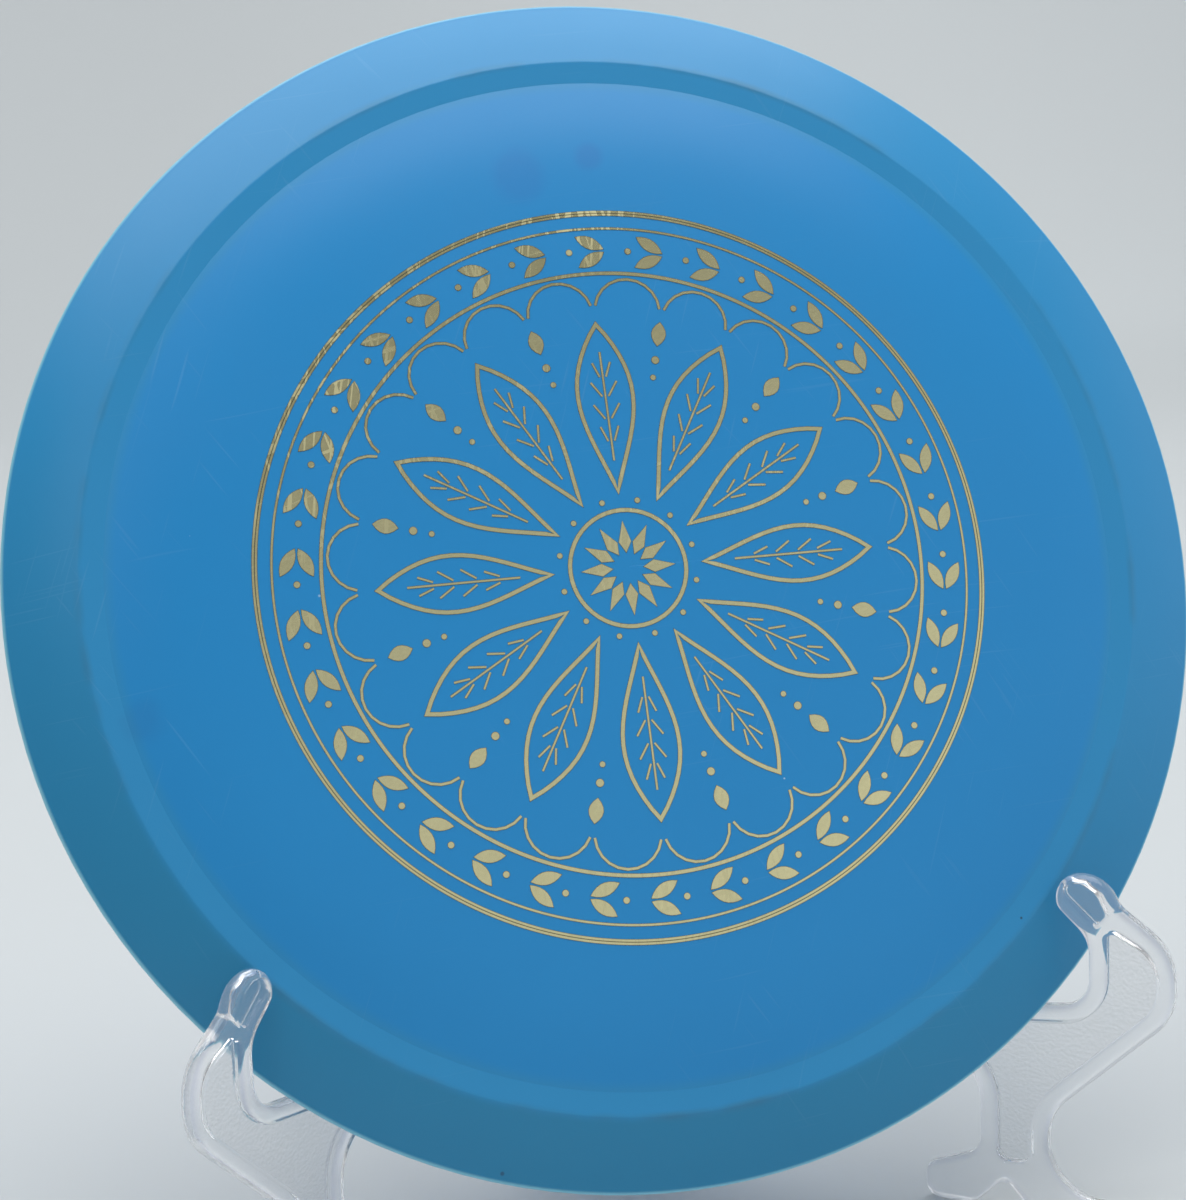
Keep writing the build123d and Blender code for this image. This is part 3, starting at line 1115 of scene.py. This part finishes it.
# Distances off a leaf's middle, in metres, that tell its parts from each other
WEB_TOP = (0.00082, 0.00092)
SHOULDER_FOOT = (0.00085, 0.00105)
SHOULDER_HEAD = (0.0013, 0.0016)
SLOPE_SPAN = 0.08           # slope of a pebble that counts as fully shaded
PEBBLE_SHADE = 0.88         # the darkest side of a pebble
STAND_SPECK_COLOUR = (0.72, 0.73, 0.77)
LAST_BENT_BOUNCE = 2.5      # rays past this depth go straight through


def clear_plastic(name, side, look):
    """Clear moulded plastic: polished beads and a finely pebbled web."""
    material, tree, shader, place = new_material(name)
    leaf = leaf_place(side)
    flat = put(
        tree, "ShaderNodeMapping",
        {"Vector": place, "Location": leaf.to_translation(),
         "Rotation": leaf.to_euler()},
        vector_type="TEXTURE",
    ).outputs[0]
    off_middle = math_node(
        tree, "ABSOLUTE", put(tree, "ShaderNodeSeparateXYZ", {0: flat}).outputs["Z"]
    )
    web = span(tree, off_middle, *WEB_TOP, 1.0, 0.0)
    shoulder = math_node(
        tree, "MULTIPLY", span(tree, off_middle, *SHOULDER_FOOT),
        span(tree, off_middle, *SHOULDER_HEAD, 1.0, 0.0),
    )

    # Painted shade: a second reading a little further on tells a pebble's lit side from
    # its shaded one, and the shaded side is painted darker
    step = (look.pebble_size * 0.1, look.pebble_size * 0.3, 0.0)
    beyond = vector_node(tree, "ADD", flat, step)["Vector"]
    pebbles = [
        put(
            tree, "ShaderNodeTexNoise",
            {"Vector": spot, "Scale": 1.0 / look.pebble_size, "Detail": 1.5},
        ).outputs[0]
        for spot in (flat, beyond)
    ]
    slope = math_node(tree, "SUBTRACT", *pebbles)
    shade = span(tree, slope, -SLOPE_SPAN, SLOPE_SPAN)
    ripple = mottle(tree, flat, 420.0)
    clouds = mottle(tree, flat, 60.0)
    specks = specks_on(tree, flat, 7.0, 0.14, 0.35)
    height = math_node(
        tree, "MULTIPLY", web,
        math_node(
            tree, "MULTIPLY_ADD", pebbles[0], look.pebble_depth,
            math_node(tree, "MULTIPLY", ripple, 0.12),
        ),
    )
    add_bump(tree, shader, height, 0.5, 0.2 * MM)
    rough = math_node(
        tree, "ADD", span(tree, clouds, 0.0, 1.0, 0.02, 0.05),
        math_node(tree, "MULTIPLY", web, 0.12),
    )
    colour = blend_colour(tree, web, look.tint, look.web_tint)
    # Painted shade on the web: each pebble's shaded side is painted darker
    colour = tinted(tree, colour, web, shade, scaled(look.web_tint, PEBBLE_SHADE))
    # Painted shade: the steep sides of the bead are painted darker lavender grey
    colour = blend_colour(tree, shoulder, colour, look.shoulder_painted_shade)
    colour = tinted(tree, colour, specks, 0.4, STAND_SPECK_COLOUR)
    bounces = put(tree, "ShaderNodeLightPath").outputs["Ray Depth"]
    bent = math_node(tree, "LESS_THAN", bounces, LAST_BENT_BOUNCE)
    fill(tree, shader, {
        "Base Color": colour, "Roughness": rough, "Alpha": bent,
        "IOR": 1.49, "Transmission Weight": 0.9,
    })
    return material


class GOLFDISPLAY_OT_finish_stand(bpy.types.Operator):
    """Cut the finger slots and give both leaves their clear pebbled plastic"""

    bl_idname = "golf_display.finish_stand"
    bl_label = "Finish Stand"

    def execute(self, context):
        look = context.scene.golf_display.stand
        for node, side in (("right_leaf", 1), ("left_leaf", -1)):
            material = clear_plastic(f"clear_{node}", side, look)
            moulded_leaf(node, side, material)
        return {"FINISHED"}


# ---------------------------------------------------------------- stage
OVERHEAD_PLACE, OVERHEAD_AIM = Vector((0.02, 0.12, 1.35)), Vector((0.0, 0.0, 0.1))
OVERHEAD_SIZE = 1.7
WINDOW_PLACE, WINDOW_AIM = Vector((-0.75, -0.85, 0.95)), Vector((0.0, 0.0, 0.08))
WINDOW_SIZE = 0.12
# The surroundings change with height, and from left to right
CEILING_BLEND = (0.35, 0.75)
SIDE_BLEND = (-0.9, 0.5)
ROOM_COLOUR = (0.96, 0.985, 1.0, 1.0)
# Painted light: the card is painted paler towards its far right corner, where less lamp
# light reaches
PALER_RIGHT = (0.05, 0.6)
PALER_FAR = (0.8, 1.15)
CLOUDY_CARD, PALER_CARD = 0.97, 1.16


def sweep_mesh():
    """A floor that curves up into a backdrop far behind the object."""
    half_width, front, back, radius, top = 2.2, -2.0, 1.0, 0.7, 2.0
    line = [(front, 0.0), (-0.6, 0.0), (0.3, 0.0), (back, 0.0)]
    for i in range(1, 17):
        angle = math.pi / 2 * i / 16
        line.append(
            (back + radius * math.sin(angle), radius * (1 - math.cos(angle)))
        )
    line.append((back + radius, top))
    points, faces = [], []
    for y, z in line:
        points += [(-half_width, y, z), (half_width, y, z)]
    for i in range(len(line) - 1):
        faces.append((2 * i, 2 * i + 1, 2 * i + 3, 2 * i + 2))
    mesh = bpy.data.meshes.new("floor")
    mesh.from_pydata(points, [], faces)
    for face in mesh.polygons:
        face.use_smooth = True
    return mesh


def floor_material(look):
    """Pale matt card, with painted light that makes its far right corner paler."""
    material, tree, shader, place = new_material("pale_card")
    clouds = mottle(tree, place, 3.0)
    card = look.floor_colour
    colour = tinted(tree, card, clouds, 0.25, scaled(card, CLOUDY_CARD))
    parts = put(tree, "ShaderNodeSeparateXYZ", {0: place}).outputs
    # Painted light: paler towards the far right corner
    far_right_painted_light = math_node(
        tree, "MULTIPLY", span(tree, parts["X"], *PALER_RIGHT, smooth=True),
        span(tree, parts["Y"], *PALER_FAR, smooth=True),
    )
    colour = blend_colour(tree, far_right_painted_light, colour, scaled(card, PALER_CARD))
    fill(tree, shader, {
        "Base Color": colour, "Roughness": 0.8, "Specular IOR Level": 0.2,
    })
    return material


def soft_world(look):
    """Surroundings bright near the horizon, and darker high up and on the left."""
    world = bpy.data.worlds.new("soft_room")
    bpy.context.scene.world = world
    world.use_nodes = True
    tree = world.node_tree
    tree.nodes.clear()
    direction = put(tree, "ShaderNodeTexCoord").outputs["Generated"]
    parts = put(tree, "ShaderNodeSeparateXYZ", {0: direction}).outputs
    level = span(
        tree, parts["Z"], *CEILING_BLEND, look.horizon_level, look.ceiling_level,
        smooth=True,
    )
    side = span(tree, parts["X"], *SIDE_BLEND, look.left_share, 1.0, smooth=True)
    level = math_node(tree, "MULTIPLY", level, side)
    background = put(
        tree, "ShaderNodeBackground",
        {"Color": ROOM_COLOUR, "Strength": level},
    )
    put(tree, "ShaderNodeOutputWorld", {0: background.outputs[0]})


def soft_box(name, place, aim, size, power):
    """A square area lamp."""
    lamp = bpy.data.lights.new(name, "AREA")
    lamp.shape = "SQUARE"
    lamp.size = size
    lamp.energy = power
    made = add_object(name, lamp)
    made.location = place
    made.rotation_euler = (aim - place).to_track_quat("-Z", "Y").to_euler()


def camera_object(look):
    """The camera, aimed and rolled."""
    camera = bpy.data.cameras.new("camera")
    camera.lens = look.lens
    camera.sensor_fit = "VERTICAL"
    camera.sensor_height = 36.0
    camera.clip_start = 0.01
    made = add_object("camera", camera)
    place = Vector(look.camera_place)
    view = Vector(look.camera_aim) - place
    turn = view.to_track_quat("-Z", "Y").to_matrix().to_4x4()
    roll = Matrix.Rotation(look.camera_roll, 4, "Z")
    made.matrix_world = Matrix.Translation(place) @ turn @ roll
    bpy.context.scene.camera = made


class GOLFDISPLAY_OT_set_stage(bpy.types.Operator):
    """Lay the floor, set the lights and place the camera"""

    bl_idname = "golf_display.set_stage"
    bl_label = "Set Stage"

    def execute(self, context):
        look = context.scene.golf_display.stage
        floor = add_object("floor", sweep_mesh())
        floor.data.materials.append(floor_material(look))
        soft_world(look)
        soft_box(
            "overhead_soft_box", OVERHEAD_PLACE, OVERHEAD_AIM, OVERHEAD_SIZE,
            look.overhead_power,
        )
        soft_box(
            "window", WINDOW_PLACE, WINDOW_AIM, WINDOW_SIZE, look.window_power
        )
        camera_object(look)
        context.scene.view_settings.view_transform = "Standard"
        return {"FINISHED"}


# ---------------------------------------------------------------- panel
class GOLFDISPLAY_PT_panel(bpy.types.Panel):
    """Settings and steps for the golf disc on its stand"""

    bl_label = "Golf Disc"
    bl_idname = "GOLFDISPLAY_PT_panel"
    bl_space_type = "VIEW_3D"
    bl_region_type = "UI"
    bl_category = "Golf Disc"

    def draw(self, context):
        settings = context.scene.golf_display
        for title, group, operator in (
            ("Disc", settings.disc, GOLFDISPLAY_OT_finish_disc.bl_idname),
            ("Foil", settings.foil, GOLFDISPLAY_OT_stamp_foil.bl_idname),
            ("Stand", settings.stand, GOLFDISPLAY_OT_finish_stand.bl_idname),
            ("Stage", settings.stage, GOLFDISPLAY_OT_set_stage.bl_idname),
        ):
            box = self.layout.box()
            box.label(text=title)
            for name in group.__annotations__:
                box.prop(group, name)
            box.operator(operator)


CLASSES = (
    DiscSettings,
    FoilSettings,
    StandSettings,
    StageSettings,
    GolfDisplaySettings,
    GOLFDISPLAY_OT_finish_disc,
    GOLFDISPLAY_OT_stamp_foil,
    GOLFDISPLAY_OT_finish_stand,
    GOLFDISPLAY_OT_set_stage,
    GOLFDISPLAY_PT_panel,
)


def register():
    for item in CLASSES:
        bpy.utils.register_class(item)
    bpy.types.Scene.golf_display = PointerProperty(type=GolfDisplaySettings)


def unregister():
    del bpy.types.Scene.golf_display
    for item in reversed(CLASSES):
        bpy.utils.unregister_class(item)


def main():
    """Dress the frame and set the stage."""
    register()
    bpy.ops.golf_display.finish_disc()
    bpy.ops.golf_display.stamp_foil()
    bpy.ops.golf_display.finish_stand()
    bpy.ops.golf_display.set_stage()


if __name__ == "__main__":
    main()
